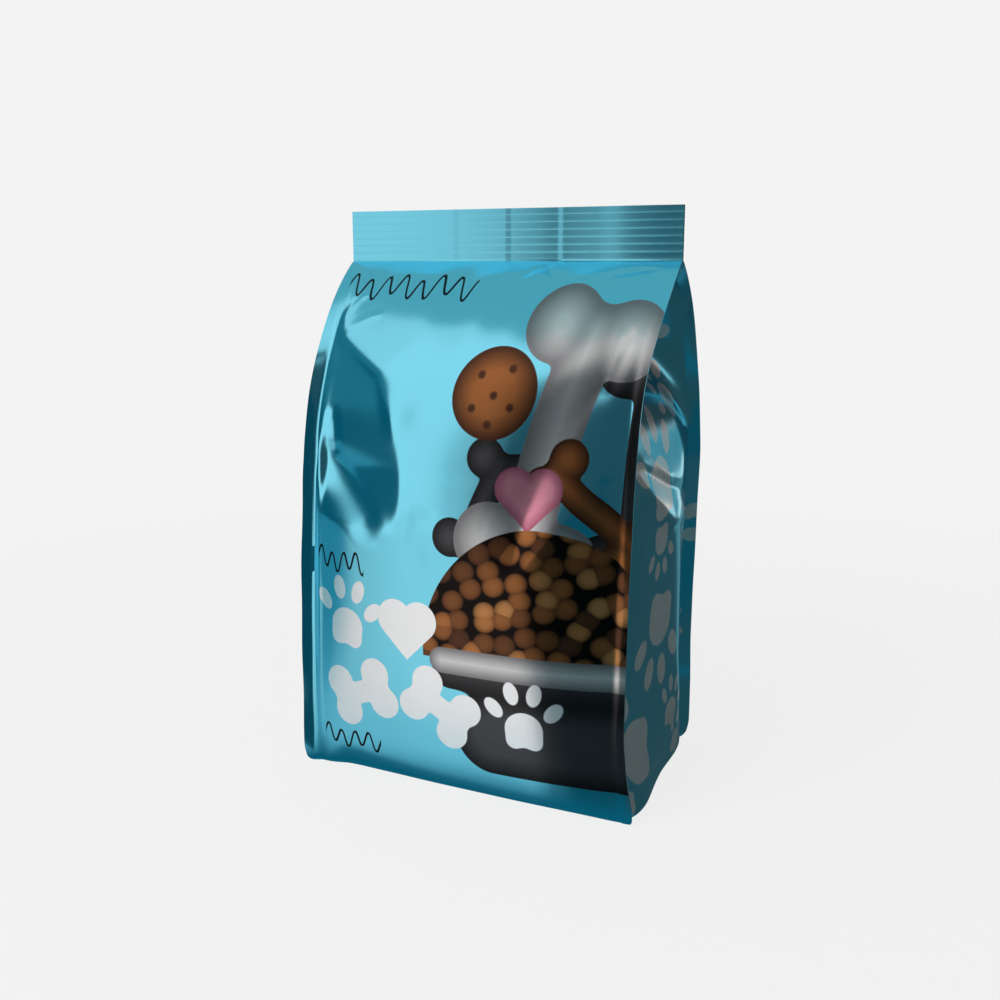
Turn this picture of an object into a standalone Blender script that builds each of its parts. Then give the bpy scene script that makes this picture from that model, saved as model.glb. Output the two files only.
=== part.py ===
"""A filled, sealed side-gusset pouch for dry pet food, in metres, +Z up.

It stands on its base with its front towards -Y. The film makes a front and a back panel, two side
gussets, four corner fin seals, a ribbed seal across the top and a seal folded flat under the base.
Each level of the bag is one closed section, and the sections are lofted from the base to the top seal.
"""

import math

import bmesh
import bpy

# Film blank and seals
seal_width = 0.180
seal_height = 0.0255
seal_thickness = 0.0012
fin_width = 0.0065
gusset_width = 0.1106
rib_count = 7
rib_height = 0.0003
gusset_step = 0.00015
gusset_step_width = 0.0006

# Filled body
body_height = 0.258
body_width = 0.175
shoulder_height = 0.108
shoulder_fullness = 1.75
neck_height = 0.060
panel_crown = 0.012
crown_flatness = 3.0
fin_splay = math.radians(24)
seal_wave = 0.0008
base_forward = 0.008
settle_height = 0.160

# Folds that the contents press into the gussets
gusset_bulge = 0.0085
foot_bulge = 0.0065
foot_height = 0.040
split_height = 0.130
split_slope = 0.2
dome_lean_height = 0.035
dome_height = 0.066
fold_radius = 0.0012
tuck_radius = 0.005

# Dent beside the left fin, with a sharp ridge on its right
dent_foot = 0.124
dent_pinch = 0.169
dent_mouth = 0.046

# Diagonal fold that runs down from the right shoulder
fold_depth = 0.0012
fold_rise = 0.0016
fold_shoulder = 0.022

# Puckers under the top seal
pucker_height = 0.0016
pucker_length = 0.024
pucker_pitch = 0.046

# Base
base_radius = 0.004
base_fin = 0.0050
base_fin_rise = 0.010
rim_share = 0.10
recess_share = 0.18
base_recess = 0.0008
flap_length = 0.140
flap_width = 0.024

# Facets
panel_segments = 26
gusset_segments = 14
roll_rows = 4
wall_rows = 21
shoulder_rows = 19
rows_per_rib = 4

fin_thickness = seal_thickness / 2
gusset_half = gusset_width / 2
seal_half = seal_width / 2
seal_root = seal_half - fin_width
body_root = body_width / 2 - fin_width
shoulder_start = body_height - shoulder_height
full_depth = math.sqrt(gusset_half**2 - gusset_bulge**2) + fin_thickness
gusset_tip = seal_root - gusset_half

# Ridge of the dent and valley and crest of the diagonal fold, as (height, place across) in shares of
# the body's height and of the panel's half width
dent_ridge = ((0.47, -0.43), (0.55, -0.35), (0.62, -0.335), (0.70, -0.39), (0.79, -0.54), (0.87, -0.98))
fold_valley = ((0.44, 0.39), (0.57, 0.49), (0.70, 0.66), (0.81, 0.89), (0.97, 1.05))
fold_crest = ((0.44, 0.41), (0.54, 0.66), (0.62, 0.82), (0.70, 0.99), (0.90, 1.12))


def clamp(value, low=0.0, high=1.0):
    return max(low, min(high, value))


def smooth(value):
    value = clamp(value)
    return value * value * (3 - 2 * value)


def smooth_min(a, b, radius):
    return 0.5 * (a + b - math.hypot(a - b, radius))


def smooth_max(a, b, radius):
    return 0.5 * (a + b + math.hypot(a - b, radius))


def along(path, height):
    """The place across of a fold's path at this height, on a curve through the path's points."""
    height = clamp(height, path[0][0], path[-1][0])
    last = len(path) - 1
    i = next(k for k in range(last) if height <= path[k + 1][0])
    low, high = path[i], path[i + 1]
    before, after = path[max(i - 1, 0)], path[min(i + 2, last)]
    span = high[0] - low[0]
    t = (height - low[0]) / span
    slope_low = (high[1] - before[1]) / (high[0] - before[0]) * span
    slope_high = (after[1] - low[1]) / (after[0] - low[0]) * span
    return (
        (1 + 2 * t) * (1 - t) ** 2 * low[1]
        + t * (1 - t) ** 2 * slope_low
        + t * t * (3 - 2 * t) * high[1]
        - t * t * (1 - t) * slope_high
    )


def root_half_width(z):
    """Half the panel's width between its fin roots: the bag narrows a little below the seal."""
    return body_root + (seal_root - body_root) * smooth((z - body_height + neck_height) / neck_height)


def shoulder_depth(share):
    """Half the depth over the panels at the fins, for this share of the way up the shoulder."""
    return fin_thickness + (full_depth - fin_thickness) * (1 - share**2) ** (shoulder_fullness / 2)


def crown_at(z, across):
    """How far a panel bulges past its fins."""
    share = clamp(z / body_height)
    return panel_crown * math.sin(math.pi * share) ** 0.6 * (1 - abs(across) ** crown_flatness)


def dented(z, across, strength):
    """The panel's height with the dent pressed into the crown from the left fin to the ridge."""
    plain = crown_at(z, across)
    if not dent_foot < z < body_height:
        return plain
    half = root_half_width(z)
    share = z / body_height
    ridge = along(dent_ridge, share)
    climb = clamp((z - dent_foot) / (dent_pinch - dent_foot))
    valley = min(-1 + dent_mouth / half * math.sqrt(1 - climb**2), ridge - 0.002 / half)
    floor = 1 - strength * climb
    crest = crown_at(z, ridge)
    trough = crown_at(z, valley) * floor
    flank = crest + (crest - trough) / (ridge - valley) * (across - ridge)
    inside = smooth_max(flank, plain * floor, fold_radius)
    soften = smooth((z - dent_foot) / 0.010) * smooth((body_height - z) / 0.030) * smooth((1 - abs(across)) * 12)
    return plain + (smooth_min(plain, inside, fold_radius) - plain) * soften


def diagonal_fold(z, across):
    """A valley and a crest that run down from the shoulder and meet at their foot."""
    share = z / body_height
    if share < fold_valley[0][0]:
        return 0.0
    half = root_half_width(z)
    valley = along(fold_valley, share) * half
    crest = along(fold_crest, share) * half
    x = across * half
    if x < valley:
        lift = -fold_depth * smooth(1 - (valley - x) / fold_shoulder)
    elif x < crest:
        lift = -fold_depth + (fold_depth + fold_rise) * smooth((x - valley) / (crest - valley))
    else:
        lift = fold_rise * smooth(1 - (x - crest) / fold_shoulder)
    fade = smooth((share - fold_valley[0][0]) / 0.12) * smooth((1 - share) / 0.10)
    return lift * fade * smooth((1 - abs(across)) * 8)


def puckers(z, across):
    """Short waves that start under the top seal and run out down the panel."""
    below = body_height - z
    fade = math.exp(-below / pucker_length) * smooth(below / (pucker_length / 3)) * (1 - across**4)
    turn = 2 * math.pi * across * root_half_width(z) / pucker_pitch
    return pucker_height * fade * (math.sin(turn + 0.9) + 0.6 * math.sin(1.7 * turn + 2.4))


def front_relief(z, across):
    return dented(z, across, 1.0) + diagonal_fold(z, across) + puckers(z, across)


def back_relief(z, across):
    return dented(z, across, 0.55) + 0.7 * diagonal_fold(z, across) + puckers(z, -across)


def gusset_reach(z, depth, across):
    """How far the gusset stands out past the fin roots; across is -1 at the front fin and 1 at the back.

    Above, the film is tucked in along its centre fold. Below, the contents press the fold outwards into a
    low roof, whose ridge splits in two under a facet that leans in towards the tuck.
    """
    side = 1 - abs(across)
    tuck = -math.sqrt(max(gusset_half**2 - depth**2, 0)) * side
    ridge = 1 - math.sqrt(across**2 + 0.01) / math.sqrt(1.01)
    foot = foot_bulge * (1 - across**6)
    roof = foot + (gusset_bulge * ridge - foot) * smooth(z / foot_height)
    above = max(z - split_height, 0)
    lean = gusset_bulge - split_slope * above
    lean -= gusset_half * max((above - dome_lean_height) / dome_height, 0) ** 3
    pressed = smooth_min(roof, lean, fold_radius)
    return smooth_max(tuck, pressed, tuck_radius * smooth(side * 2))


def sway(x, z):
    """The contents have settled forwards, and the top seal isn't quite straight in plan."""
    turn = 2 * math.pi * x / seal_width
    wave = seal_wave * smooth((z - body_height + neck_height) / neck_height) * math.sin(1.3 * turn + 0.7)
    return wave - base_forward * max(1 - (z / settle_height) ** 2, 0)


def spread(count):
    """Places across a panel, evenly spaced but for a close pair at each step that a gusset's tip makes."""
    tip = gusset_tip / seal_root
    gap = gusset_step_width / 2 / seal_root
    outer = round((count - 2) * (1 - tip) / 2)
    inner = count - 2 - 2 * outer
    sides = [-1 + (1 - tip - gap) * i / outer for i in range(outer + 1)]
    middle = [-tip + gap + 2 * (tip - gap) * i / inner for i in range(inner + 1)]
    return sides + middle + [-place for place in reversed(sides)]


places = spread(panel_segments)
gusset_places = [-1 + 2 * i / gusset_segments for i in range(1, gusset_segments)]


def body_section(z, depth, inset):
    """One level of the body, anticlockwise from above, starting at the left front fin's tip.

    depth is half the depth at the fins, and inset draws the whole section in, where the base rolls under.
    """
    half = root_half_width(z) - inset
    depth = depth - inset
    inner = depth - fin_thickness
    reach = base_fin + (fin_width - base_fin) * smooth(z / base_fin_rise)
    splay = fin_splay * smooth((body_height - z) / neck_height)
    out, forward = reach * math.cos(splay), reach * math.sin(splay)

    front = [(-half - out, -depth - forward)]
    front += [(place * half, -depth - front_relief(z, place)) for place in places]
    front += [(half + out, -depth - forward)]
    back = [(half + out, depth + forward)]
    back += [(-place * half, depth + back_relief(z, -place)) for place in places]
    back += [(-half - out, depth + forward)]

    right = [(half + out, -inner - forward), (half, -inner)]
    right += [(half + gusset_reach(z, inner + inset, place), place * inner) for place in gusset_places]
    right += [(half, inner), (half + out, inner + forward)]
    left = [(-x, -y) for x, y in right]
    return [(x, y + sway(x, z), z) for x, y in front + right + back + left]


def seal_section(z, swell, step):
    """One level of the top seal: a flat band, thinner by the step between the tips of the two gussets."""
    thick = fin_thickness + swell
    face = [(-seal_half, thick)]
    for place in places:
        thin = step if abs(place) * seal_root < gusset_tip else 0
        face.append((place * seal_root, thick - thin))
    face.append((seal_half, thick))
    front = [(x, -y) for x, y in face]
    back = [(-x, y) for x, y in face]
    outline = front + [(seal_half, 0)] + back + [(-seal_half, 0)]
    return [(x, y + sway(x, z), z) for x, y in outline]


def flap_outline(z):
    """The bottom seal, folded flat under the base, with as many points as a body section."""
    half, edge = flap_length / 2, flap_width / 2
    front = [(place * half, -edge) for place in places]
    back = [(-x, -y) for x, y in front]
    count = gusset_segments + 5
    right = [(half, -edge + flap_width * i / (count + 1)) for i in range(1, count + 1)]
    left = [(-x, -y) for x, y in right]
    return [(x, y + sway(x, z), z) for x, y in left[-1:] + front + right + back + left[:-1]]


def between(outer, inner, share, z):
    return [(a[0] + (b[0] - a[0]) * share, a[1] + (b[1] - a[1]) * share, z) for a, b in zip(outer, inner)]


def body_levels():
    """Sections from the folded bottom seal, out over the base and up to the foot of the top seal."""
    rim = body_section(0, full_depth, base_radius)
    flap = flap_outline(0)
    levels = [flap, flap_outline(base_recess)]
    levels.append(between(rim, flap, recess_share, base_recess))
    levels.append(between(rim, flap, rim_share, 0))
    for i in range(roll_rows):
        turn = math.pi / 2 * i / roll_rows
        inset = base_radius * (1 - math.sin(turn))
        levels.append(body_section(base_radius * (1 - math.cos(turn)), full_depth, inset))
    for i in range(wall_rows):
        z = base_radius + (shoulder_start - base_radius) * i / wall_rows
        levels.append(body_section(z, full_depth, 0))
    for i in range(shoulder_rows + 1):
        share = math.sin(math.pi / 2 * i / shoulder_rows)
        levels.append(body_section(shoulder_start + shoulder_height * share, shoulder_depth(share), 0))
    return levels


def seal_levels():
    rows = rib_count * rows_per_rib
    levels = []
    for i in range(rows + 1):
        swell = rib_height * abs(math.sin(math.pi * i / rows_per_rib))
        step = gusset_step if i else 0
        levels.append(seal_section(body_height + seal_height * i / rows, swell, step))
    return levels


def loft(mesh, levels):
    """Quads between each section and the next, and the rings of corners that they were made on."""
    rings = [[mesh.verts.new(point) for point in level] for level in levels]
    for low, high in zip(rings, rings[1:]):
        for i in range(len(low)):
            j = (i + 1) % len(low)
            mesh.faces.new((low[i], low[j], high[j], high[i]))
    return rings


def centre_on_base(mesh):
    """Moves the origin to the middle of the bounding box's foot."""
    for axis in (0, 1):
        values = [vertex.co[axis] for vertex in mesh.verts]
        middle = (min(values) + max(values)) / 2
        for vertex in mesh.verts:
            vertex.co[axis] -= middle


def film_material():
    material = bpy.data.materials.new("printed_film")
    material.use_nodes = True
    shader = material.node_tree.nodes["Principled BSDF"]
    shader.inputs["Base Color"].default_value = (0.08, 0.46, 0.62, 1)
    shader.inputs["Metallic"].default_value = 0.8
    shader.inputs["Roughness"].default_value = 0.28
    return material


def make_pouch():
    """The loft of the body, closed along the gussets' folds where the loft of the seal begins."""
    mesh = bmesh.new()
    body_rings = loft(mesh, body_levels())
    seal_rings = loft(mesh, seal_levels())
    mesh.faces.new(tuple(reversed(body_rings[0])))

    top = seal_rings[-1]
    count = len(places) + 2
    front, back = top[:count], top[count + 1 : 2 * count + 1][::-1]
    for i in range(count - 1):
        mesh.faces.new((front[i], front[i + 1], back[i + 1], back[i]))
    mesh.faces.new((front[-1], top[count], back[-1]))
    mesh.faces.new((back[0], top[-1], front[0]))

    for ring in (body_rings[-1], seal_rings[0]):
        for vertex in ring:
            vertex.co.z = body_height
    bmesh.ops.remove_doubles(mesh, verts=body_rings[-1] + seal_rings[0], dist=1e-5)
    bmesh.ops.triangulate(mesh, faces=mesh.faces[:])
    bmesh.ops.recalc_face_normals(mesh, faces=mesh.faces[:])
    centre_on_base(mesh)

    data = bpy.data.meshes.new("pouch")
    mesh.to_mesh(data)
    mesh.free()
    pouch = bpy.data.objects.new("pouch", data)
    bpy.context.scene.collection.objects.link(pouch)
    pouch.data.materials.append(film_material())
    pouch.data.shade_smooth()
    pouch.data.set_sharp_from_angle(angle=math.radians(40))
    return pouch


for old in list(bpy.data.objects):
    bpy.data.objects.remove(old)
make_pouch()
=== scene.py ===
# A filled, sealed side-gusset pouch of printed metallised film, in a pale studio
import math
import bpy
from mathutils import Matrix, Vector, noise


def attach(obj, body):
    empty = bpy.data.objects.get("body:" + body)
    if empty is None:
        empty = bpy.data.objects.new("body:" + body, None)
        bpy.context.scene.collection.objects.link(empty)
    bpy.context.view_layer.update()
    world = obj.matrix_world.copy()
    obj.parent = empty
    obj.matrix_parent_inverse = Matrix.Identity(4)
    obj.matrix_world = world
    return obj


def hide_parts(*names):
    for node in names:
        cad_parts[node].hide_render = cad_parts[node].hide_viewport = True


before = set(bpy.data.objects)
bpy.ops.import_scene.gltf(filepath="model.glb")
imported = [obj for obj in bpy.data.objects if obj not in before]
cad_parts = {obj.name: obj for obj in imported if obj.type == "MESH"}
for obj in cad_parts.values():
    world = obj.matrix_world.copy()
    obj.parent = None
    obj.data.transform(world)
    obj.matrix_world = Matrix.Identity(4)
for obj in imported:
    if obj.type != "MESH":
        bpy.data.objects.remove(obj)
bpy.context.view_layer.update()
print("frame loaded")


def deselectAll():
    if bpy.context.mode != "OBJECT":
        bpy.ops.object.mode_set(mode="OBJECT")
    bpy.ops.object.select_all(action="DESELECT")


def activate(*objects):
    deselectAll()
    for item in objects:
        item.select_set(True)
    bpy.context.view_layer.objects.active = objects[0]


def clamp(value, low=0.0, high=1.0):
    return max(low, min(high, value))


def smooth(value):
    value = clamp(value)
    return value * value * (3 - 2 * value)


def smoothMin(a, b, radius):
    return 0.5 * (a + b - math.hypot(a - b, radius))


def smoothMax(a, b, radius):
    return 0.5 * (a + b + math.hypot(a - b, radius))


# The camera stands where the photograph was taken from
camera = {
    "place": (0.236543, -0.520979, 0.256084),
    "turn": 0.430857,  # to the left of +Y
    "dip": 0.206536,
    "lens": 40.41,
    "sensor": 36,
    "nearest": 0.01,
}
bpy.ops.object.camera_add(
    location=camera["place"],
    rotation=(math.pi / 2 - camera["dip"], 0, camera["turn"]),
)
photoCamera = bpy.context.object
photoCamera.name = "photoCamera"
photoCamera.data.lens = camera["lens"]
photoCamera.data.sensor_width = camera["sensor"]
photoCamera.data.clip_start = camera["nearest"]
bpy.context.scene.camera = photoCamera
print("camera set")


# The pouch's film: sizes as in the solid, and the finer folds that only the film shows
bag = {
    "sealWidth": 0.180,
    "sealHeight": 0.0255,
    "sealThickness": 0.0012,
    "finWidth": 0.0065,
    "gussetWidth": 0.1106,
    "ribCount": 7,
    "ribHeight": 0.00015,
    "ribFullness": 0.7,
    "gussetStep": 0.00015,
    "leftStepShare": 0.3,
    "bodyHeight": 0.258,
    "bodyWidth": 0.175,
    "shoulderHeight": 0.108,
    "shoulderFullness": 1.75,
    "neckHeight": 0.060,
    "panelCrown": 0.012,
    "crownFlatness": 3.0,
    "crownSpread": 0.6,
    "finSplay": math.radians(24),
    "finCurl": (1.5, 0.55),
    "baseForward": 0.008,
    "settleHeight": 0.160,
    "gussetBulge": 0.0085,
    "ridgeRounding": 0.006,
    "footBulge": 0.0065,
    "footHeight": 0.040,
    "splitHeight": 0.130,
    "splitSlope": 0.2,
    "domeLeanHeight": 0.035,
    "domeHeight": 0.066,
    "foldRadius": 0.0010,
    "ridgeRadius": 0.0003,
    "tuckRadius": 0.005,
    "dentFoot": 0.124,
    "dentPinch": 0.169,
    "dentNarrowest": 0.002,
    "dentFootFade": 0.010,
    "dentTopFade": 0.030,
    "foldDepth": 0.0016,
    "foldRise": 0.0026,
    "foldShoulder": 0.022,
    "foldNarrowest": 0.004,
    "foldEdge": 0.0004,
    "foldFootFade": 0.12,
    "foldTopFade": 0.10,
    "backDentShare": 0.55,
    "backFoldShare": 0.7,
    "baseRadius": 0.004,
    "baseFin": 0.0050,
    "baseFinRise": 0.010,
    "flapLength": 0.140,
    "flapWidth": 0.024,
    "flapCore": (0.2, 0.01),
    "baseRecess": 0.0008,
    "recessShares": (0.75, 0.5, 0.3, 0.18),
    "rimShare": 0.10,
    "panelTracks": 126,
    "gussetTracks": 64,
    "finTracks": 3,
    "wallRows": 92,
    "shoulderRows": 92,
    "rollRows": 7,
    "rowsPerRib": 8,
    "weldReach": 0.00002,
    "sliver": 0.00001,
    "smoothUnder": math.radians(48),
}
centreY = 0.00273  # where the solid's seal lies, after its foot was centred
finThickness = bag["sealThickness"] / 2
gussetHalf = bag["gussetWidth"] / 2
sealHalf = bag["sealWidth"] / 2
sealRoot = sealHalf - bag["finWidth"]
bodyRoot = bag["bodyWidth"] / 2 - bag["finWidth"]
bodyHeight = bag["bodyHeight"]
shoulderStart = bodyHeight - bag["shoulderHeight"]
fullDepth = math.sqrt(gussetHalf**2 - bag["gussetBulge"] ** 2) + finThickness
gussetTip = sealRoot - gussetHalf

# The dent's deepest line, as (height, place across) in metres
dentValley = (
    (0.124, -0.036), (0.134, -0.041), (0.143, -0.048), (0.154, -0.060),
    (0.163, -0.070), (0.175, -0.078), (0.200, -0.0835),
)
# Long folds, as (height, place across) in shares of the body's height and the panel's half width
dentRidge = (
    (0.47, -0.37), (0.554, -0.325), (0.609, -0.325), (0.659, -0.355),
    (0.725, -0.43), (0.79, -0.55), (0.87, -0.98),
)
foldValley = ((0.44, 0.39), (0.57, 0.49), (0.70, 0.66), (0.81, 0.89), (0.97, 1.05))
foldCrest = ((0.44, 0.41), (0.54, 0.66), (0.62, 0.82), (0.70, 0.99), (0.90, 1.12))

# Short creases on the front: path in millimetres across and up, height, and how wide and how soft
# each side is, left then right; a sharp side leaves its path at a slope, a soft one level
sharp, soft = 1, 2
frontCreases = (
    (((-90, 229), (-76, 222), (-61, 212), (-46, 204), (-36, 187), (-30, 170)), 1.1, (7, sharp), (20, soft)),
    (((-76, 222), (-69, 226), (-61, 230), (-54, 232)), 0.45, (4, soft), (3, sharp)),
    (((-80, 226), (-77, 233), (-72, 240), (-66, 243)), 0.7, (5, soft), (5, sharp)),
    (((-68, 162), (-70, 170), (-71, 179), (-74, 188)), -0.6, (10, sharp), (6, soft)),
    (((-90, 172), (-79, 164), (-71, 156), (-59, 146), (-47, 135), (-37, 119)), -1.0, (15, soft), (11, soft)),
    (((-12, 146), (-16, 132), (-17, 122), (-13, 108)), -0.3, (9, soft), (9, soft)),
    (((79, 238), (74, 224), (71, 209), (70, 199)), 0.8, (5, sharp), (4, sharp)),
    (((-80, 172), (-79, 150), (-78, 130), (-77, 89), (-78, 46), (-77, 8)), 0.9, (1.8, soft), (2.6, soft)),
    (
        (
            (0, 253), (12, 250), (18, 254), (23, 255), (30, 250),
            (38, 247), (48, 248), (62, 252), (76, 254), (92, 254),
        ),
        -0.7,
        (3, sharp),
        (3, soft),
    ),
)
# The same on the tucked sides: path in millimetres back and up
sideCreases = (
    (((-44, 167), (-35, 165), (-21, 160), (8, 150), (56, 138)), -1.1, (11, soft), (5, sharp)),
    (((-40, 156), (-19, 145), (5, 131), (30, 130), (56, 131)), 1.2, (6, sharp), (11, soft)),
    (((-30, 174), (-14, 166), (1, 157), (14, 151)), 0.5, (2.6, sharp), (2.6, sharp)),
    (((-39, 163), (-28, 155), (-12, 145), (-1, 138)), 0.5, (2.6, sharp), (2.6, sharp)),
    (((-54, 8), (-34, 10), (-10, 9), (22, 5)), -0.9, (4, sharp), (4, soft)),
    (((14, 250), (22, 239), (38, 217), (46, 202)), 0.6, (5, sharp), (4, sharp)),
)
# The line along which a filled side stands out most, as (height, place from front to back)
ridgeLine = (
    (0.0, 0.50), (0.030, 0.48), (0.055, 0.44), (0.085, 0.38), (0.110, 0.32), (0.150, 0.12), (0.180, 0.0),
)


def along(path, height):
    # a smooth curve through the path's points, level beyond its ends
    height = clamp(height, path[0][0], path[-1][0])
    last = len(path) - 1
    i = next(k for k in range(last) if height <= path[k + 1][0])
    low, high = path[i], path[i + 1]
    before, after = path[max(i - 1, 0)], path[min(i + 2, last)]
    span = high[0] - low[0]
    t = (height - low[0]) / span
    slopeLow = (high[1] - before[1]) / (high[0] - before[0]) * span
    slopeHigh = (after[1] - low[1]) / (after[0] - low[0]) * span
    return (
        (1 + 2 * t) * (1 - t) ** 2 * low[1]
        + t * (1 - t) ** 2 * slopeLow
        + t * t * (3 - 2 * t) * high[1]
        - t * t * (1 - t) * slopeHigh
    )


def neckShare(z):
    # 0 on the body, 1 from the top seal's foot upwards
    return smooth((z - bodyHeight + bag["neckHeight"]) / bag["neckHeight"])


def edgeFade(across, rate):
    return smooth((1 - abs(across)) * rate)


def rootHalfWidth(z):
    return bodyRoot + (sealRoot - bodyRoot) * neckShare(z)


def shoulderDepth(share):
    return finThickness + (fullDepth - finThickness) * max(1 - share**2, 0) ** (bag["shoulderFullness"] / 2)


def crownAt(z, across):
    share = clamp(z / bodyHeight)
    rise = bag["panelCrown"] * math.sin(math.pi * share) ** bag["crownSpread"]
    return rise * (1 - abs(across) ** bag["crownFlatness"])


def dented(z, across, strength):
    plain = crownAt(z, across)
    foot, pinch = bag["dentFoot"], bag["dentPinch"]
    if not foot < z < bodyHeight:
        return plain
    half = rootHalfWidth(z)
    ridge = along(dentRidge, z / bodyHeight)
    climb = (z - foot) / (pinch - foot)
    valley = clamp(along(dentValley, z) / half, -1, ridge - bag["dentNarrowest"] / half)
    floor = 1 - strength * smooth(climb)
    crest = crownAt(z, ridge)
    trough = crownAt(z, valley) * floor
    flank = crest + (crest - trough) / (ridge - valley) * (across - ridge)
    hollow = smoothMax(flank, plain * floor, bag["foldRadius"])
    soften = smooth((z - foot) / bag["dentFootFade"]) * smooth((bodyHeight - z) / bag["dentTopFade"])
    soften *= edgeFade(across, 12)
    return plain + (smoothMin(plain, hollow, bag["ridgeRadius"]) - plain) * soften


def diagonalFold(z, across):
    share = z / bodyHeight
    start = foldValley[0][0]
    if share < start:
        return 0.0
    half = rootHalfWidth(z)
    valley = along(foldValley, share) * half
    crest = along(foldCrest, share) * half
    x = across * half
    depth, rise = bag["foldDepth"], bag["foldRise"]
    ramp = -depth + (depth + rise) * (x - valley) / max(crest - valley, bag["foldNarrowest"])
    before = -depth * smooth(1 - (valley - x) / bag["foldShoulder"])
    after = rise * smooth(1 - (x - crest) / bag["foldShoulder"])
    lift = smoothMax(ramp, before if x < crest else -depth, bag["foldEdge"])
    lift = smoothMin(lift, after if x > valley else rise, bag["foldEdge"])
    fade = smooth((share - start) / bag["foldFootFade"]) * smooth((1 - share) / bag["foldTopFade"])
    return lift * fade * edgeFade(across, 8)


# Waves that start under the top seal: two rows, the second lower and closer
pucker = {
    "height": 0.0011,
    "length": 0.024,
    "pitch": 0.046,
    "start": 0.9,
    "secondShare": 0.6,
    "secondTurns": 1.7,
    "secondStart": 2.4,
}


def puckers(z, across):
    below = bodyHeight - z
    fade = math.exp(-below / pucker["length"]) * smooth(below / (pucker["length"] / 3)) * (1 - across**4)
    turn = 2 * math.pi * across * rootHalfWidth(z) / pucker["pitch"]
    second = pucker["secondShare"] * math.sin(pucker["secondTurns"] * turn + pucker["secondStart"])
    return pucker["height"] * fade * (math.sin(turn + pucker["start"]) + second)


def creaseLift(creases, x, z):
    # x and z in millimetres; a crease fades out over a fifth of its length at each end
    total = 0.0
    for path, height, left, right in creases:
        reach = max(left[0], right[0])
        if not min(p[1] for p in path) - reach < z < max(p[1] for p in path) + reach:
            continue
        if not min(p[0] for p in path) - reach < x < max(p[0] for p in path) + reach:
            continue
        best, side, place = 1e9, 1, 0
        for i in range(len(path) - 1):
            (ax, az), (bx, bz) = path[i], path[i + 1]
            dx, dz = bx - ax, bz - az
            t = clamp(((x - ax) * dx + (z - az) * dz) / (dx * dx + dz * dz))
            gap = math.hypot(x - ax - dx * t, z - az - dz * t)
            if gap < best:
                best = gap
                side = (x - ax) * abs(dz) - (z - az) * dx * (1 if dz >= 0 else -1)
                place = (i + t) / (len(path) - 1)
        width, softness = right if side > 0 else left
        if best >= width:
            continue
        ends = smooth(place * 5) * smooth((1 - place) * 5)
        shape = (1 - best / width) ** 2 if softness == sharp else smooth(1 - best / width)
        total += height * 0.001 * ends * shape
    return total


# Where the front panel turns under at its foot: (place across, height) in millimetres
footLine = ((-81, 3), (-72, 6), (-62, 13), (-40, 12), (-7, 9), (30, 7), (60, 6), (72, 5), (81, 3))
footShape = {
    "slope": 0.34,
    "radius": 0.0012,
    "reach": 0.01,
    "fill": 0.0015,
    "fillHeight": 0.03,
    "cornerSpread": 0.0070,
    "cornerHeight": 0.045,
    "cornerFade": 1.6,
    "sideSpread": 0.0010,
    "sideTop": 0.062,
    "sideFade": 0.03,
}
# Slight unevenness of the filled panels: height, how often it changes across and up, and a seed
uneven = {"front": (0.00022, 28, 19, 1.7), "back": (0.0003, 24, 17, 8.3)}


def footTuck(x, z):
    under = along(footLine, x * 1000) / 1000 - z
    if under <= -footShape["reach"]:
        return 0.0
    return -footShape["slope"] * smoothMax(under, 0, footShape["radius"])


def unevenness(panel, x, z):
    height, wide, tall, seed = uneven[panel]
    return height * noise.noise(Vector((x * wide, z * tall, seed)))


def frontRelief(z, across, x):
    lift = dented(z, across, 1.0) + diagonalFold(z, across) + puckers(z, across)
    fill = footShape["fill"] * smooth(1 - z / footShape["fillHeight"])
    lift += (footTuck(x, z) + fill) * edgeFade(across, 8)
    lift += creaseLift(frontCreases, x * 1000, z * 1000) * edgeFade(across, 12)
    return lift + unevenness("front", x, z) * edgeFade(across, 6)


def backRelief(z, across, x):
    lift = dented(z, across, bag["backDentShare"]) + bag["backFoldShare"] * diagonalFold(z, across)
    return lift + puckers(z, -across) + unevenness("back", x, z) * edgeFade(across, 6)


def gussetReach(z, depth, across):
    side = 1 - abs(across)
    tuck = -math.sqrt(max(gussetHalf**2 - depth**2, 0)) * side
    middle = along(ridgeLine, z)
    share = (across - middle) / (1 - middle if across > middle else 1 + middle)
    rounding = bag["ridgeRounding"]
    ridge = 1 - math.sqrt(share**2 + rounding) / math.sqrt(1 + rounding)
    low = bag["footBulge"] * (1 - across**6)
    roof = low + (bag["gussetBulge"] * ridge - low) * smooth(z / bag["footHeight"])
    above = max(z - bag["splitHeight"], 0)
    lean = bag["gussetBulge"] - bag["splitSlope"] * above
    lean -= gussetHalf * max((above - bag["domeLeanHeight"]) / bag["domeHeight"], 0) ** 3
    pressed = smoothMin(roof, lean, bag["foldRadius"])
    pressed += creaseLift(sideCreases, across * depth * 1000, z * 1000) * smooth(side * 10)
    return smoothMax(tuck, pressed, bag["tuckRadius"] * smooth(side * 2))


# The top seal's waves from left to right, as (place across, way back) in metres
sealWaves = (
    (-0.090, 0.00045), (-0.040, 0.00015), (0.000, -0.00010), (0.018, 0.00000), (0.034, 0.00038),
    (0.048, 0.00030), (0.062, -0.00018), (0.074, -0.00016), (0.090, 0.00032),
)


def sway(x, z):
    low = max(1 - (z / bag["settleHeight"]) ** 2, 0)
    return centreY + along(sealWaves, x) * neckShare(z) - bag["baseForward"] * low


# The fins' ripples: a quick wave inside a slow one, that fades at both ends
finRipple = {"height": 0.0005, "quick": 95, "slow": 41, "start": 1, "topFade": 0.03, "footFade": 0.02}


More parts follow.
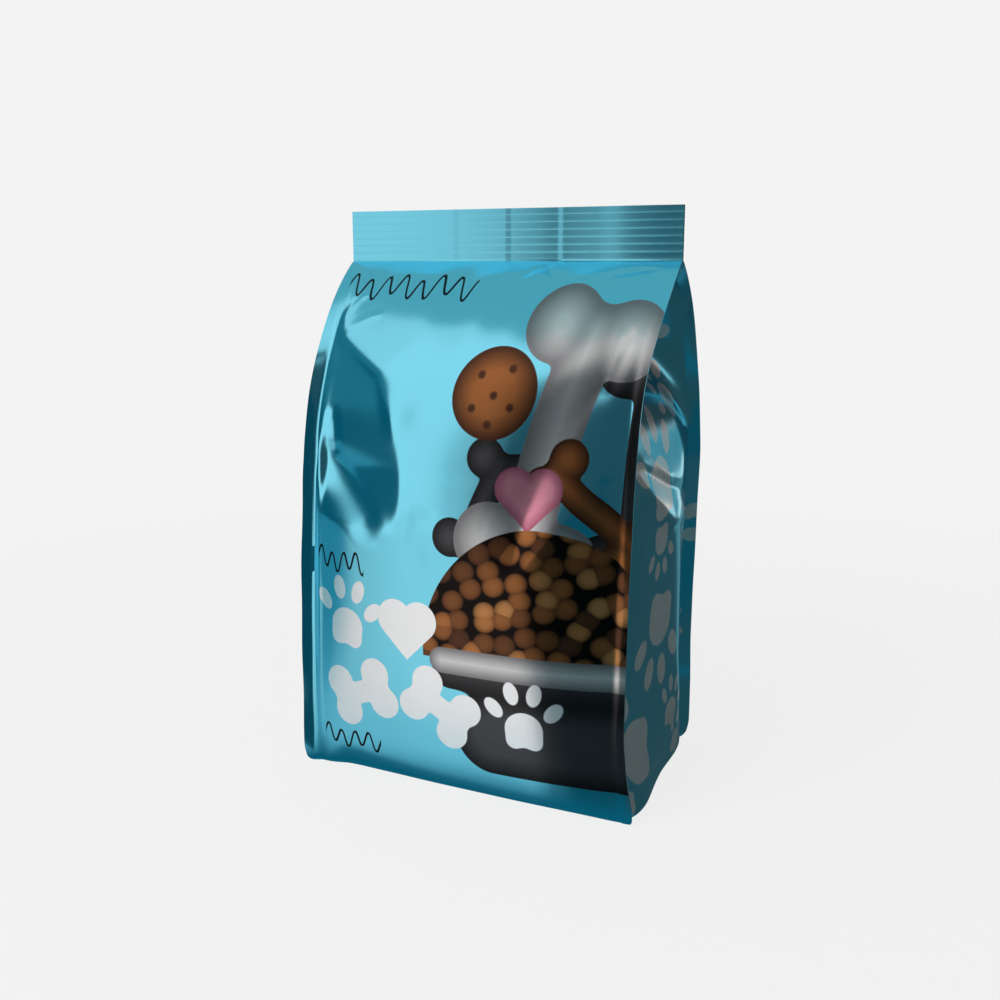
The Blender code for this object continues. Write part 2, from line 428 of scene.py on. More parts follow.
def finWave(z):
    wave = finRipple["height"] * math.sin(z * finRipple["quick"] + finRipple["start"])
    wave *= math.sin(z * finRipple["slow"])
    return wave * smooth((bodyHeight - z) / finRipple["topFade"]) * smooth(z / finRipple["footFade"])


def makeTracks():
    n, g, f = bag["panelTracks"], bag["gussetTracks"], bag["finTracks"]
    places = [-1 + 2 * i / n for i in range(n + 1)]
    fins = [i / f for i in range(f, 0, -1)]
    inner = [-1 + 2 * i / g for i in range(g + 1)]
    tracks = [("frontFin", -s) for s in fins] + [("front", p) for p in places]
    tracks += [("frontFin", s) for s in reversed(fins)] + [("rightFrontFin", s) for s in fins]
    tracks += [("right", p) for p in inner]
    tracks += [("rightBackFin", s) for s in reversed(fins)] + [("backFin", s) for s in fins]
    tracks += [("back", -p) for p in places]
    tracks += [("backFin", -s) for s in reversed(fins)] + [("leftBackFin", s) for s in fins]
    tracks += [("left", -p) for p in inner] + [("leftFrontFin", s) for s in reversed(fins)]
    return tracks


tracks = makeTracks()
sealTracks = [t for t in tracks if t[0] in ("front", "back", "frontFin", "backFin")]


def sidesOf(kind, place):
    # towards the right (1) or the left (-1), and towards the back (1) or the front (-1)
    right = kind.startswith("right") or (place > 0 and kind in ("front", "back", "frontFin", "backFin"))
    return 1 if right else -1, -1 if "front" in kind.lower() else 1


def curledLean(forward, s):
    # the right front fin springs forwards at its root and curls back to its edge
    turnBack, ease = bag["finCurl"]
    return forward * s * (1 - turnBack * s + ease * s * s)


def footSpread(kind, place, z):
    # the right side's foot is pushed outwards, most at its front corner
    corner, side = 0, 0
    if kind == "front":
        corner = clamp(place) ** 4
    elif kind == "frontFin" and place > 0:
        corner = 1
    elif kind == "back":
        side = clamp(place) ** 4
    elif kind == "backFin" and place > 0:
        side = 1
    elif kind == "rightFrontFin":
        corner, side = 1, 1
    elif kind == "right":
        corner, side = smooth((0.2 - place) / 1.2), 1
    elif kind == "rightBackFin":
        side = 1
    low = clamp(1 - z / footShape["cornerHeight"]) ** footShape["cornerFade"]
    rise = smooth((footShape["sideTop"] - z) / footShape["sideFade"])
    return footShape["cornerSpread"] * corner * low + footShape["sideSpread"] * side * rise * (1 - corner)


def bodyRing(z, depth, inset):
    half = rootHalfWidth(z) - inset
    depth = depth - inset
    inner = depth - finThickness
    reach = bag["baseFin"] + (bag["finWidth"] - bag["baseFin"]) * smooth(z / bag["baseFinRise"])
    splay = bag["finSplay"] * smooth((bodyHeight - z) / bag["neckHeight"])
    out, forward = reach * math.cos(splay), reach * math.sin(splay)
    wave = finWave(z)
    ring = []
    for kind, place in tracks:
        s = abs(place)
        sideX, sideY = sidesOf(kind, place)
        if kind == "front":
            x, y = place * half, -depth - frontRelief(z, place, place * half)
        elif kind == "back":
            x, y = place * half, depth + backRelief(z, place, place * half)
        elif kind in ("right", "left"):
            x, y = sideX * (half + gussetReach(z, inner + inset, place)), place * inner
        else:
            lean = curledLean(forward, s) if sideX > 0 and sideY < 0 else forward * s
            face = depth if kind in ("frontFin", "backFin") else inner
            x, y = sideX * (half + out * s), sideY * (face + lean + wave * s * s)
        ring.append((x + footSpread(kind, place, z), y + sway(x, z), z))
    return ring


def flapRing(z):
    half, edge = bag["flapLength"] / 2, bag["flapWidth"] / 2
    ring = []
    for kind, place in tracks:
        sideX, sideY = sidesOf(kind, place)
        x = half * (place if kind in ("front", "back") else sideX)
        y = edge * (place if kind in ("right", "left") else sideY)
        ring.append((x, y + sway(x, z), z))
    return ring


def between(outer, inner, share, z):
    return [(a[0] + (b[0] - a[0]) * share, a[1] + (b[1] - a[1]) * share, z) for a, b in zip(outer, inner)]


def bodyRings():
    radius = bag["baseRadius"]
    rim = bodyRing(0, fullDepth, radius)
    flap = flapRing(0)
    wide, deep = bag["flapCore"]
    core = [(x * wide, (y - sway(x, 0)) * deep + sway(x, 0), 0) for x, y, z in flap]
    rings = [core, flap, flapRing(bag["baseRecess"])]
    for share in bag["recessShares"]:
        rings.append(between(rim, flap, share, bag["baseRecess"] * min(1, share * 5)))
    rings.append(between(rim, flap, bag["rimShare"], 0))
    rows = bag["rollRows"]
    for i in range(rows):
        turn = math.pi / 2 * i / rows
        rings.append(bodyRing(radius * (1 - math.cos(turn)), fullDepth, radius * (1 - math.sin(turn))))
    for i in range(bag["wallRows"]):
        rings.append(bodyRing(radius + (shoulderStart - radius) * i / bag["wallRows"], fullDepth, 0))
    for i in range(bag["shoulderRows"] + 1):
        share = math.sin(math.pi / 2 * i / bag["shoulderRows"])
        rings.append(bodyRing(shoulderStart + bag["shoulderHeight"] * share, shoulderDepth(share), 0))
    return rings


def sealRing(z, swell, step):
    ring = []
    for kind, place in sealTracks:
        sideX, sideY = sidesOf(kind, place)
        x, y = place * sealRoot, finThickness + swell
        if kind in ("frontFin", "backFin"):
            x = sideX * (sealRoot + abs(place) * bag["finWidth"])
        elif abs(x) < gussetTip:
            y -= step if x > 0 else step * bag["leftStepShare"]
        ring.append((x, sideY * y + sway(x, z), z))
    return ring


def sealRings():
    rows = bag["ribCount"] * bag["rowsPerRib"]
    rings = []
    for i in range(rows + 1):
        swell = abs(math.sin(math.pi * i / bag["rowsPerRib"])) ** bag["ribFullness"] * bag["ribHeight"]
        step = bag["gussetStep"] if i else 0
        rings.append(sealRing(bodyHeight + bag["sealHeight"] * i / rows, swell, step))
    top = bodyHeight + bag["sealHeight"]
    rings.append([(x, sway(x, z), top) for x, y, z in rings[-1]])
    return rings


zoneNumbers = {"front": 0, "right": 1, "back": 2, "left": 3}


def filmFromGrid(name, rings, kinds, some):
    # A flat blank of film is laid down as a grid, and its points are folded onto the rings
    columns, rows = len(rings[0]), len(rings) - 1
    deselectAll()
    bpy.ops.mesh.primitive_grid_add(x_subdivisions=columns, y_subdivisions=rows, size=1)
    blank = bpy.context.object
    blank.name = name
    mesh = blank.data
    for j, ring in enumerate(rings):
        for i in range(columns + 1):
            mesh.vertices[j * (columns + 1) + i].co = ring[i % columns]
    while mesh.uv_layers:
        mesh.uv_layers.remove(mesh.uv_layers[0])
    flat = mesh.uv_layers.new(name="film")
    zones = mesh.attributes.new("zone", "INT", "FACE")
    for face in mesh.polygons:
        ids = [mesh.loops[k].vertex_index for k in face.loop_indices]
        kind = kinds[min(v % (columns + 1) for v in ids)]
        zones.data[face.index].value = zoneNumbers[kind]
        for k, v in zip(face.loop_indices, ids):
            row, column = divmod(v, columns + 1)
            flat.data[k].uv = flatPlace(kind, some[column % columns], rings[row][0][2])
    return blank


def flatPlace(zone, track, z):
    # where a point lies on its own flat panel, in metres across and up
    kind, place = track
    sideX, sideY = sidesOf(kind, place)
    out = abs(place) * bag["finWidth"]
    if kind in ("front", "back"):
        return (place * rootHalfWidth(z), z)
    if zone in ("front", "back"):
        return (sideX * (rootHalfWidth(z) + out), z)
    if kind in ("right", "left"):
        return (place * gussetHalf, z)
    return (sideY * (gussetHalf + out), z)


def zoneOf(kind, following):
    if kind in ("front", "back"):
        return kind
    if kind == "frontFin":
        return "front" if following in ("front", "frontFin") else "right"
    if kind == "backFin":
        return "back" if following in ("back", "backFin") else "left"
    return "right" if kind.startswith("right") else "left"


bodyZones = [zoneOf(kind, tracks[(i + 1) % len(tracks)][0]) for i, (kind, place) in enumerate(tracks)]
sealZones = ["front" if kind.startswith("front") else "back" for kind, place in sealTracks]

print("folding the film")
body = filmFromGrid("pouchFilm", bodyRings(), bodyZones, tracks)
seal = filmFromGrid("topSeal", sealRings(), sealZones, sealTracks)
activate(body, seal)
bpy.ops.object.join()
bpy.ops.object.mode_set(mode="EDIT")
bpy.ops.mesh.select_all(action="SELECT")
bpy.ops.mesh.remove_doubles(threshold=bag["weldReach"])
bpy.ops.mesh.dissolve_degenerate(threshold=bag["sliver"])
bpy.ops.mesh.select_all(action="DESELECT")
bpy.ops.mesh.select_mode(type="EDGE")
bpy.ops.mesh.select_non_manifold(extend=False)
bpy.ops.object.mode_set(mode="OBJECT")
openEdges = sum(1 for e in body.data.edges if e.select)
print("open edges before filling:", openEdges)
bpy.ops.object.mode_set(mode="EDIT")
bpy.ops.mesh.edge_face_add()
bpy.ops.mesh.select_all(action="SELECT")
bpy.ops.mesh.normals_make_consistent(inside=False)
bpy.ops.object.mode_set(mode="OBJECT")
activate(body)
bpy.ops.object.shade_smooth_by_angle(angle=bag["smoothUnder"])
print("film folded:", len(body.data.polygons), "faces")


class Socket:
    def __init__(self, tree, link):
        self.tree = tree
        self.link = link

    def maths(self, operation, *others, clamped=False):
        return self.tree.make(
            "ShaderNodeMath", {"operation": operation, "use_clamp": clamped}, [self, *others]
        )

    def __add__(self, other):
        return self.maths("ADD", other)

    def __radd__(self, other):
        return self.maths("ADD", other)

    def __sub__(self, other):
        return self.maths("SUBTRACT", other)

    def __rsub__(self, other):
        return self.tree.make("ShaderNodeMath", {"operation": "SUBTRACT"}, [other, self])

    def __mul__(self, other):
        return self.maths("MULTIPLY", other)

    def __rmul__(self, other):
        return self.maths("MULTIPLY", other)

    def __truediv__(self, other):
        return self.maths("DIVIDE", other)

    def min(self, other):
        return self.maths("MINIMUM", other)

    def max(self, other):
        return self.maths("MAXIMUM", other)


class Tree:
    # the nodes of a material or of the world
    def __init__(self, owner):
        owner.use_nodes = True
        self.owner = owner
        self.nodes = owner.node_tree.nodes
        self.links = owner.node_tree.links
        self.nodes.clear()

    def make(self, kind, settings=None, values=(), output=0):
        node = self.nodes.new(kind)
        for key, value in (settings or {}).items():
            if key == "stops":
                ramp = node.color_ramp
                while len(ramp.elements) < len(value):
                    ramp.elements.new(0.5)
                for element, (place, colour) in zip(ramp.elements, value):
                    element.position = place
                    element.color = colour
            else:
                setattr(node, key, value)
        pairs = values.items() if isinstance(values, dict) else enumerate(values)
        for key, value in pairs:
            if isinstance(value, Socket):
                self.links.new(value.link, node.inputs[key])
            elif value is not None:
                node.inputs[key].default_value = value
        return Socket(self, node.outputs[output]) if len(node.outputs) else None

    def mix(self, factor, first, second):
        return self.make("ShaderNodeMix", {"data_type": "RGBA"}, {0: factor, 6: first, 7: second}, 2)

    def printPlace(self):
        # the place on the flat film, in millimetres: across, and up
        uv = self.make("ShaderNodeUVMap", {"uv_map": "film"})
        return self.make("ShaderNodeVectorMath", {"operation": "SCALE"}, {0: uv, "Scale": 1000.0})

    def local(self, place, x, z, wide=1.0, tall=1.0, turn=0.0):
        # the same place as seen from a motif's own centre, turn and size
        return self.make(
            "ShaderNodeMapping",
            {"vector_type": "TEXTURE"},
            {"Vector": place, "Location": (x, z, 0), "Rotation": (0, 0, turn), "Scale": (wide, tall, 1)},
        )

    def vector(self, operation, *values, output=0):
        return self.make("ShaderNodeVectorMath", {"operation": operation}, values, output)

    def part(self, place, axis):
        return self.make("ShaderNodeSeparateXYZ", None, [place], axis)


def rgb(r, g, b):
    return tuple(((c / 255 + 0.055) / 1.055) ** 2.4 if c > 10 else c / 255 / 12.92 for c in (r, g, b)) + (1,)


# Shapes of the print, as distances in millimetres that are negative inside
def oval(tree, place, x, z, wide, tall, turn=0.0):
    return (tree.vector("LENGTH", tree.local(place, x, z, wide, tall, turn), output=1) - 1) * min(wide, tall)


def disc(tree, place, x, z, radius):
    return tree.vector("DISTANCE", place, (x, z, 0), output=1) - radius


def rod(tree, place, ax, az, bx, bz, radius):
    length = math.hypot(bx - ax, bz - az)
    near = tree.local(place, ax, az, turn=math.atan2(bz - az, bx - ax))
    stop = tree.vector("MINIMUM", tree.vector("MAXIMUM", near, (0, 0, 0)), (length, 0, 0))
    return tree.vector("DISTANCE", near, stop, output=1) - radius


def inside(shape, edge=0.35):
    return (0.5 - shape / edge).maths("ADD", 0, clamped=True)


def boneShape(tree, place, ax, az, bx, bz, size):
    turn = math.atan2(bz - az, bx - ax) + math.pi / 2
    shape = rod(tree, place, ax, az, bx, bz, size * 0.5)
    for x, z in ((ax, az), (bx, bz)):
        for side in (-0.66, 0.66):
            knobX, knobZ = x + side * size * math.cos(turn), z + side * size * math.sin(turn)
            knob = disc(tree, place, knobX, knobZ, size * 0.72)
            shape = shape.maths("SMOOTH_MIN", knob, size * 0.25)
    return shape


def heartShape(tree, place, x, z, size):
    # two round lobes over a point, drawn on one half and folded over
    own = tree.local(place, x, z - 0.55 * size, size, size)
    across, up = tree.part(own, 0).maths("ABSOLUTE"), tree.part(own, 1)
    lobe = ((across - 0.25) * (across - 0.25) + (up - 0.75) * (up - 0.75)).maths("SQRT") - 0.354
    near = (across + up).max(0) * 0.5
    flank = (across - near) * (across - near) + (up - near) * (up - near)
    notch = across * across + (up - 1) * (up - 1)
    below = flank.min(notch).maths("SQRT") * (across - up).maths("SIGN")
    over = (across + up).maths("GREATER_THAN", 1)
    return (over * (lobe - below) + below) * size


def waveLine(tree, place, x, z, length, height, pitch, thick):
    # a pen stroke that loops gently along a line and runs out at its ends
    own = tree.local(place, x, z)
    across, up = tree.part(own, 0), tree.part(own, 1)
    path = (across * (2 * math.pi / pitch)).maths("SINE") * height
    drift = (across * (2 * math.pi / (pitch * 2.7)) + 1.1).maths("SINE") * (height * 0.35)
    gap = (up - path - drift).maths("ABSOLUTE")
    slope = (across * (2 * math.pi / pitch)).maths("COSINE") * (2 * math.pi / pitch * height)
    gap = gap / (slope * slope + 1).maths("SQRT")
    reach = (across - length / 2).maths("ABSOLUTE") - length / 2
    return (gap - thick).max(reach)


# A paw's toes: how far ahead, how far to the side, and turn
pawToes = ((0.50, 0.78, 0.75), (0.92, 0.30, 0.25), (0.92, -0.30, -0.25), (0.50, -0.78, -0.75))


def pawShape(tree, place, x, z, size, turn):
    # one big pad that is wide at its heel, and its toes
    own = tree.local(place, x, z, size, size, turn)
    shape = oval(tree, own, -0.02, 0, 0.46, 0.50)
    shape = shape.maths("SMOOTH_MIN", disc(tree, own, -0.34, 0.27, 0.20), 0.25)
    shape = shape.maths("SMOOTH_MIN", disc(tree, own, -0.34, -0.27, 0.20), 0.25)
    for ahead, out, tilt in pawToes:
        shape = shape.min(oval(tree, own, ahead, out, 0.30, 0.19, tilt))
    return shape * size


# The film's own look: clear teal over bright metal, and inks that are duller than the bare metal
film = {
    "teal": rgb(126, 216, 238),
    "metal": 1.0,
    "rough": 0.15,
    "inkMetal": 0.88,
    "inkRough": 0.22,
    "sealRough": 0.26,
    "sealFrom": 258,
    "sealSharpness": 0.8,
    "coat": 0.03,
    "coatRough": 0.15,
    "grain": 700.0,
    "grainDetail": 2.0,
    "grainStrength": 0.03,
    "grainHeight": 0.0002,
}


def filmMaterial(name, paint):
    tree = Tree(bpy.data.materials.new(name))
    place = tree.printPlace()
    colour, ink = paint(tree, place)
    metal, rough = film["metal"], film["rough"]
    if ink:
        metal = metal - ink * (metal - film["inkMetal"])
        rough = ink * (film["inkRough"] - rough) + rough
    onSeal = ((tree.part(place, 1) - film["sealFrom"]) * film["sealSharpness"]).max(0).min(1)
    rough = onSeal * (film["sealRough"] - rough) + rough
    solid = tree.make("ShaderNodeTexCoord", None, (), "Object")
    values = {"Vector": solid, "Scale": film["grain"], "Detail": film["grainDetail"]}
    grain = tree.make("ShaderNodeTexNoise", {"noise_dimensions": "3D"}, values)
    values = {"Strength": film["grainStrength"], "Distance": film["grainHeight"], "Height": grain}
    bump = tree.make("ShaderNodeBump", None, values)
    shader = tree.make(
        "ShaderNodeBsdfPrincipled",
        None,
        {
            "Base Color": colour,
            "Metallic": metal,
            "Roughness": rough,
            "Normal": bump,
            "Coat Weight": film["coat"],
            "Coat Roughness": film["coatRough"],
        },
    )
    tree.make("ShaderNodeOutputMaterial", None, {"Surface": shader})
    return tree.owner


white = rgb(236, 236, 237)
fur = rgb(208, 207, 206)
furShade = rgb(128, 127, 129)
charcoal = rgb(70, 69, 71)
darkGrey = rgb(36, 35, 37)
black = rgb(12, 11, 12)
brown = rgb(150, 92, 50)
darkBrown = rgb(74, 44, 28)
pink = rgb(214, 140, 158)
rose = rgb(172, 98, 120)
pawGrey = rgb(238, 232, 230)


class Print:
    # lays one ink over another and keeps where any ink lies
    def __init__(self, tree, ground):
        self.tree = tree
        self.colour = ground
        self.ink = None

    def lay(self, shape, paint, edge=0.35):
        mask = inside(shape, edge)
        self.colour = self.tree.mix(mask, self.colour, paint)
        self.ink = mask if self.ink is None else self.ink.max(mask)

    def rounded(self, shape, paint, shade, depth):
        # a shape with a darker rim
        self.lay(shape, shade)
        self.lay(shape + depth, paint, depth * 1.6)


foodTones = (
    (0.0, rgb(78, 50, 34)),
    (0.35, rgb(122, 76, 44)),
    (0.65, rgb(158, 100, 56)),
    (1.0, rgb(186, 132, 82)),
)


def looseFood(tree, place):
    # round pieces of dry food, each with its own tone, with dark gaps between them
    cells = tree.local(place, 0, 0, 10.5, 9.5, 0.3)
    settings = {"voronoi_dimensions": "2D", "feature": "F1"}
    values = {"Vector": cells, "Scale": 1.0, "Randomness": 0.7}
    near = tree.make("ShaderNodeTexVoronoi", settings, values)
    tone = tree.part(tree.make("ShaderNodeTexVoronoi", settings, values, 1), 0)
    pieces = tree.make("ShaderNodeValToRGB", {"stops": foodTones}, [tone])
    pieces = tree.mix((near * 1.75).maths("POWER", 3, clamped=True), pieces, rgb(52, 30, 19))
    return tree.mix((near * 14 - 7.2).maths("ADD", 0, clamped=True), pieces, rgb(18, 11, 9))


# Pen strokes: where each starts, its length, height and pitch, and half its thickness
penStrokes = (
    (-84, 245, 76, 4.6, 10.5, 0.6),
    (-77, 112, 31, 4.2, 8.0, 0.6),
    (-74, 19, 35, 3.8, 8.5, 0.6),
)


def frontPaint(tree, place):
    ink = Print(tree, film["teal"])
    up = tree.part(place, 1)
    # what stands behind the bowl: large bones and biscuits
    ink.rounded(boneShape(tree, place, 92, 120, 96, 214, 24), charcoal, darkGrey, 5)
    ink.rounded(boneShape(tree, place, 10, 128, 26, 166, 13), charcoal, darkGrey, 4)
    ink.rounded(disc(tree, place, 18, 198, 21), brown, darkBrown, 6)
    for x, z in ((10, 206), (25, 209), (18, 197), (8, 191), (27, 192), (17, 184)):
        ink.lay(disc(tree, place, x, z, 1.9), darkBrown, 1.0)
    ink.rounded(boneShape(tree, place, 38, 128, 60, 226, 25), fur, furShade, 8)
    ink.rounded(boneShape(tree, place, 88, 132, 52, 164, 13), brown, darkBrown, 4)
    ink.rounded(heartShape(tree, place, 40, 151, 27), pink, rose, 3)
    # the heap and its bowl, which runs on past the panel's edge
    heap = oval(tree, place, 46, 76, 58, 62).max(72 - up)
    ink.lay(heap, looseFood(tree, place))
    bowl = rod(tree, place, 2, 66, 96, 66, 9).maths("SMOOTH_MIN", rod(tree, place, 24, 36, 90, 36, 20), 14)
    ink.rounded(bowl, charcoal, darkGrey, 6)
    ink.rounded(rod(tree, place, -2, 71, 100, 71, 6.5), fur, furShade, 4)
    # white pieces in two rows, and thin pen strokes
    ink.lay(pawShape(tree, place, -57, 80, 20, 1.5), white)
    ink.lay(heartShape(tree, place, -21, 83, 27), white)
    ink.lay(boneShape(tree, place, -60, 42, -38, 50, 11.5), white)
    ink.lay(boneShape(tree, place, -14, 52, 6, 40, 11.5), white)
    ink.lay(pawShape(tree, place, 40, 42, 19, 1.6), white)
    for stroke in penStrokes:
        ink.lay(waveLine(tree, place, *stroke), black)
    return ink.colour, ink.ink


# Paws on the sides: place, size and turn
sidePaws = (
    (-7, 153, 29, 1.85),
    (-8, 125, 15, -1.43),
    (-4, 84, 27, -1.69),
    (15, 32, 15, 1.3),
    (-34, 28, 30, 3.0),
    (26, 12, 13, 1.2),
    (22, 226, 22, 0.9),
    (34, 190, 16, 2.4),
    (42, 118, 20, 0.8),
    (38, 66, 16, -0.6),
)


def sidePaint(tree, place):
    ink = Print(tree, film["teal"])
    for paw in sidePaws:
        ink.lay(pawShape(tree, place, *paw), pawGrey, 0.6)
    return ink.colour, ink.ink


def plainPaint(tree, place):
    return film["teal"], None


for name, paint in {"frontFilm": frontPaint, "sideFilm": sidePaint, "plainFilm": plainPaint}.items():
    body.data.materials.append(filmMaterial(name, paint))
zoneMaterial = (0, 1, 2, 1)
zones = body.data.attributes["zone"]
for face in body.data.polygons:
    face.material_index = zoneMaterial[zones.data[face.index].value]
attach(body, "root")
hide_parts("pouch")
print("film printed")


# Studio: a pale floor that the camera sees as the backdrop, soft lamps, and cards for the metal to mirror
studio = {
    "backdrop": rgb(243, 243, 243),
    "paper": rgb(251, 251, 251),
    "floorSize": 12,
    "shadeShare": 0.09,
    "shadeReach": 0.6,
    "ambient": 0.25,
    "key": 22.0,
    "fill": 3.0,
    "drumHeight": 0.14,
}


def seenRays(tree):
    # 1 for rays of the camera, mirrored rays and rays that pass through a card
    direct = tree.make("ShaderNodeLightPath", None, (), "Is Camera Ray")
    mirrored = tree.make("ShaderNodeLightPath", None, (), "Is Glossy Ray")
    passed = tree.make("ShaderNodeLightPath", None, (), "Is Transmission Ray")
    return (direct + mirrored + passed).min(1)


def floorMaterial():
    # seen as the backdrop's own pale tone; near the pouch a share of it takes shadows
    tree = Tree(bpy.data.materials.new("floorPaper"))
    spot = tree.make("ShaderNodeTexCoord", None, (), "Object")
    far = tree.vector("LENGTH", spot, output=1) / studio["shadeReach"]
    shade = (1.2 - far).maths("ADD", 0, clamped=True) * studio["shadeShare"]
    dull = tree.make("ShaderNodeBsdfDiffuse", None, {"Color": studio["paper"]})
    glow = tree.make("ShaderNodeEmission", None, {"Color": studio["backdrop"], "Strength": 1.0})
    both = tree.make("ShaderNodeMixShader", None, [seenRays(tree) * (1 - shade), dull, glow])
    tree.make("ShaderNodeOutputMaterial", None, {"Surface": both})
    return tree.owner


deselectAll()
bpy.ops.mesh.primitive_plane_add(size=studio["floorSize"], location=(0, 0, 0))
floor = bpy.context.object
floor.name = "studioFloor"
floor.data.materials.append(floorMaterial())

bpy.context.scene.world = bpy.data.worlds.new("studioAir")
air = Tree(bpy.context.scene.world)
dim = air.make("ShaderNodeBackground", None, {"Color": (1, 1, 1, 1), "Strength": studio["ambient"]})
bright = air.make("ShaderNodeBackground", None, {"Color": studio["backdrop"], "Strength": 1.0})
blend = air.make("ShaderNodeMixShader", None, [seenRays(air), dim, bright])
air.make("ShaderNodeOutputWorld", None, {"Surface": blend})


def lamp(name, place, aim, size, power):
    deselectAll()
    bpy.ops.object.light_add(type="AREA", location=place)
    light = bpy.context.object
    light.name = name
    light.rotation_euler = (Vector(aim) - Vector(place)).to_track_quat("-Z", "Y").to_euler()
    light.data.shape = "RECTANGLE"
    light.data.size, light.data.size_y = size
    light.data.energy = power
    light.visible_glossy = False
    light.visible_camera = False


lamp("keyLamp", (-0.62, -1.25, 0.65), (0, 0, 0.13), (1.0, 1.2), studio["key"])
lamp("topLamp", (0.0, 0.1, 1.4), (0, 0, 0.1), (1.2, 1.2), studio["fill"])


def cardMaterial(name, level, oneSided):
    # a glowing cloth that thins out where the card's "cover" falls
    tree = Tree(bpy.data.materials.new(name))
    glow = tree.make("ShaderNodeEmission", None, {"Color": (*level, 1), "Strength": 1.0})
    clear = tree.make("ShaderNodeBsdfTransparent", None, {"Color": (1, 1, 1, 1)})
    cover = tree.make("ShaderNodeAttribute", {"attribute_name": "cover"}, (), 2)
    if oneSided:
        cover = cover * (1 - tree.make("ShaderNodeNewGeometry", None, (), "Backfacing"))
    both = tree.make("ShaderNodeMixShader", None, [cover, clear, glow])
    tree.make("ShaderNodeOutputMaterial", None, {"Surface": both})
    return tree.owner


def card(name, place, level, edges=(0, 0, 0, 0), columns=24, rows=12, oneSided=False):
    # A sheet that only mirrored rays meet, so it shades the metal and nothing else.
    # Its edges thin out over a share of its width and height: left, right, low, high.
    deselectAll()
    bpy.ops.mesh.primitive_grid_add(x_subdivisions=columns, y_subdivisions=rows, size=1)
    sheet = bpy.context.object
    sheet.name = name
    cover = sheet.data.attributes.new("cover", "FLOAT", "POINT")
    for k, vertex in enumerate(sheet.data.vertices):
        u, v = k % (columns + 1) / columns, k // (columns + 1) / rows
        vertex.co = place(u, v)
        shares = (u, 1 - u, v, 1 - v)
        cover.data[k].value = math.prod(smooth(s / e) if e else 1 for s, e in zip(shares, edges))
    sheet.data.materials.append(cardMaterial(name + "Cloth", level, oneSided))
    sheet.visible_camera = False
    sheet.visible_diffuse = False
    sheet.visible_shadow = False


def arc(start, end, low, high, radius):
    # part of a drum around the pouch, between two azimuths from -Y towards +X and two elevations
    def place(u, v):
        a = start + (end - start) * u
        bottom = low(a) if callable(low) else low
        a, e = math.radians(a), math.radians(bottom + (high - bottom) * v)
        x, y = radius * math.sin(a) * math.cos(e), -radius * math.cos(a) * math.cos(e)
        return (x, y, studio["drumHeight"] + radius * math.sin(e))

    return place


def patch(corners, height):
    # a patch just over the floor, between four corners: near left, near right, far left, far right
    def place(u, v):
        reach = v * v
        spot = []
        for nearLeft, nearRight, farLeft, farRight in zip(*corners):
            near = nearLeft * (1 - u) + nearRight * u
            far = farLeft * (1 - u) + farRight * u
            spot.append(near * (1 - reach) + far * reach)
        return (*spot, height)

    return place


def topEdge(azimuth):
    # the top card hangs lower behind the pouch's left side
    return 44 + 17 * smooth((azimuth + 93) / 37)


card("keyCard", arc(-62, -14, -10, 64, 2.2), (1.0, 1.0, 1.0), (0.2, 0.2, 0, 0.08))
card("leftCard", arc(-130, -45, -6.5, 22, 1.6), (0.003, 0.118, 0.158), (0.1, 0.06, 0.08, 0.4))
card("leftHigh", arc(-130, -45, 6, 40, 1.65), (0.04, 0.21, 0.25), (0.1, 0.06, 0.1, 0.12))
card("leftLow", arc(-130, -53, -10, -4, 1.5), (0.06, 0.30, 0.37), (0.1, 0.1, 0, 0.5))
card("rightCard", arc(-27, 84, -9.5, 52, 1.7), (0.055, 0.10, 0.115), (0.06, 0.1, 0, 0.06))
card("sideCard", arc(74, 152, -12, 46, 1.1), (0.050, 0.055, 0.058), (0.1, 0.1, 0, 0.2))
card("sideHigh", arc(150, 205, -3, 3.5, 0.9), (0.12, 0.33, 0.38), (0.1, 0.1, 0, 0.1))
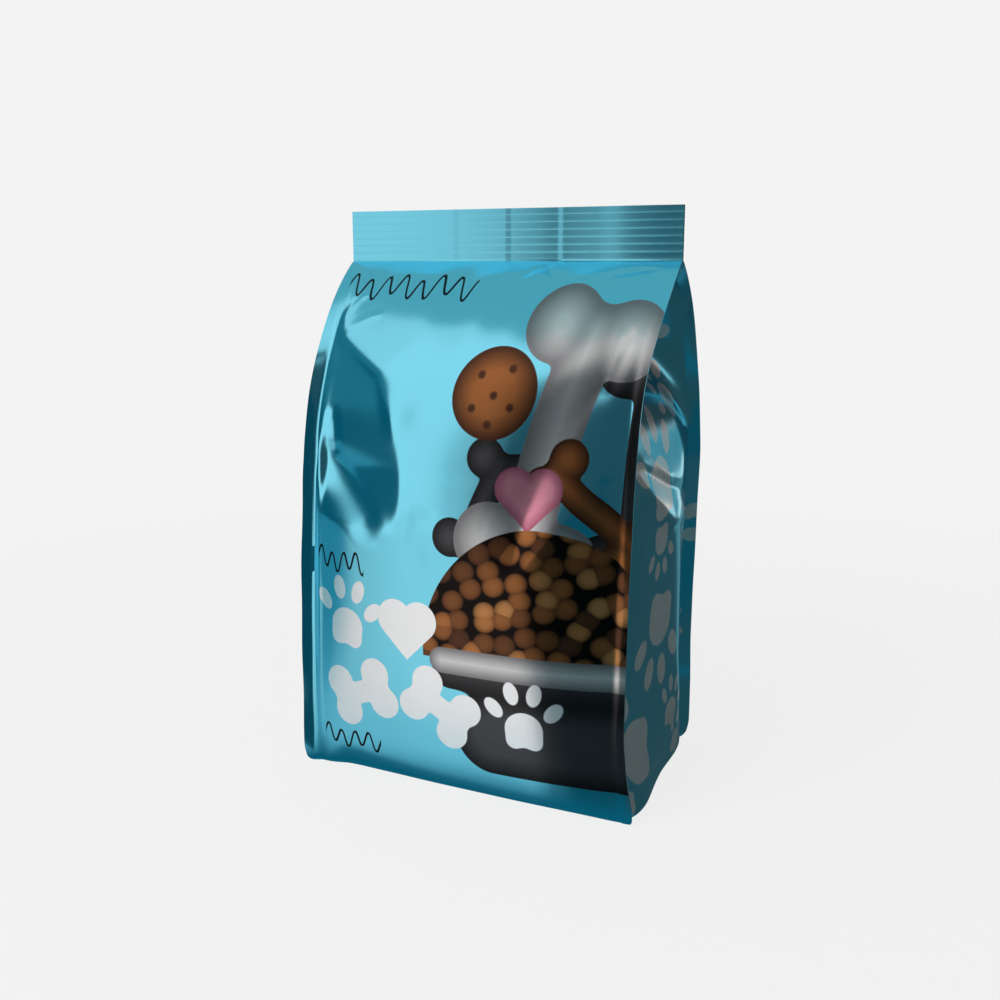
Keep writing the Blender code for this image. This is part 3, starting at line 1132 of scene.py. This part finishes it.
card("sideTop", arc(120, 215, 1.5, 54, 0.92), (0.045, 0.055, 0.058), (0.1, 0.1, 0.04, 0.1))
card("topCard", arc(-180, 180, topEdge, 88, 1.8), (0.29, 0.50, 0.53), (0, 0, 0.08, 0), 72)
card("backCard", arc(98, 156, -12, 4, 0.8), (0.07, 0.088, 0.09), (0.1, 0.1, 0, 0.2))
card(
    "leftFloor",
    patch(((-0.30, 0.0), (-0.040, -0.055), (-2.2, 0.9), (-1.75, -1.45)), 0.0006),
    (0.07, 0.29, 0.36),
    (0, 0.14, 0, 0),
)
card(
    "leftFade",
    patch(((-0.060, -0.055), (0.020, -0.058), (-1.9, -1.30), (-0.9, -1.9)), 0.0005),
    (0.64, 0.66, 0.66),
    (0, 0.9, 0, 0),
)
card(
    "rightFloor",
    patch(((0.045, -0.055), (0.30, -0.02), (-0.55, -2.4), (2.3, -0.6)), 0.0008),
    (0.01, 0.09, 0.115),
    (0.06, 0, 0, 0),
)
card(
    "nearFloor",
    patch(((-0.30, -0.065), (0.30, -0.065), (-0.34, -0.20), (0.30, -0.20)), 0.0007),
    (0.40, 0.60, 0.66),
    (0, 0, 0, 0.9),
)
card(
    "footFloor",
    patch(((-0.30, -0.050), (0.30, -0.050), (-0.30, -0.10), (0.30, -0.10)), 0.0010),
    (0.01, 0.14, 0.19),
    (0, 0, 0, 0.5),
)
card(
    "sideFloor",
    patch(((0.085, -0.11), (0.085, 0.06), (0.9, -0.5), (0.56, 1.25)), 0.0009),
    (0.050, 0.084, 0.092),
    (0, 0.03, 0, 0),
)
card(
    "backFloor",
    patch(((0.12, 0.03), (-0.09, 0.06), (0.80, 1.10), (-1.5, 1.0)), 0.0005),
    (0.14, 0.27, 0.30),
    (0.04, 0, 0, 0),
)


def finFlag(u, v):
    # stands before the left front fin and is clear from its right side
    return (-0.0795 - 0.10 * u, -0.068 - 0.8 * u, 0.001 + 0.30 * v)


card("finFlag", finFlag, (0.006, 0.075, 0.10), (0, 0, 0, 0.1), oneSided=True)
print("studio set")

bpy.context.scene.view_settings.view_transform = "Standard"
